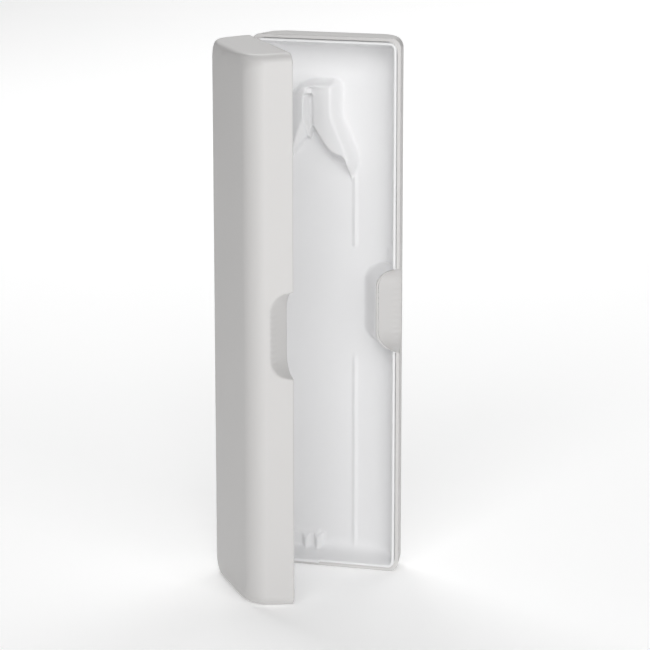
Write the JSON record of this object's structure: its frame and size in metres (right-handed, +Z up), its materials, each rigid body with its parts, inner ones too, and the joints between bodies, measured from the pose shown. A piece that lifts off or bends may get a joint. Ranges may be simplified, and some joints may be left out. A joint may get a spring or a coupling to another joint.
{
  "type": "toothbrush travel case",
  "caption": "Upright two-shell plastic travel case, hinged along one side like a book, with a moulded tray in each half that holds a toothbrush handle.",
  "frame": {"origin": "middle of the bounding box at the floor, with the case standing on its end and open 56 degrees", "axes": "+Z up along the case and its hinge, +X across the base half from its hinge side, -Y out of the base half's open side"},
  "size_m": [0.0814, 0.0856, 0.245],
  "materials": {
    "case_plastic": "satin moulded white",
    "tray_plastic": "fine satin moulded white",
    "hinge_steel": "drawn wire"
  },
  "bodies": {
    "base": {"base_shell": "case_plastic", "base_tray": "tray_plastic", "lower_hinge_pin": "hinge_steel", "upper_hinge_pin": "hinge_steel"},
    "lid": {"lid_shell": "case_plastic", "lid_tray": "tray_plastic"}
  },
  "joints": [
    {"name": "lid_hinge", "type": "hinge", "parent": "base", "child": "lid", "pos_m": [-0.03066, 0.02232, 0.1225], "axis": [0, 0, -1], "range_deg": [-56, 124]}
  ]
}
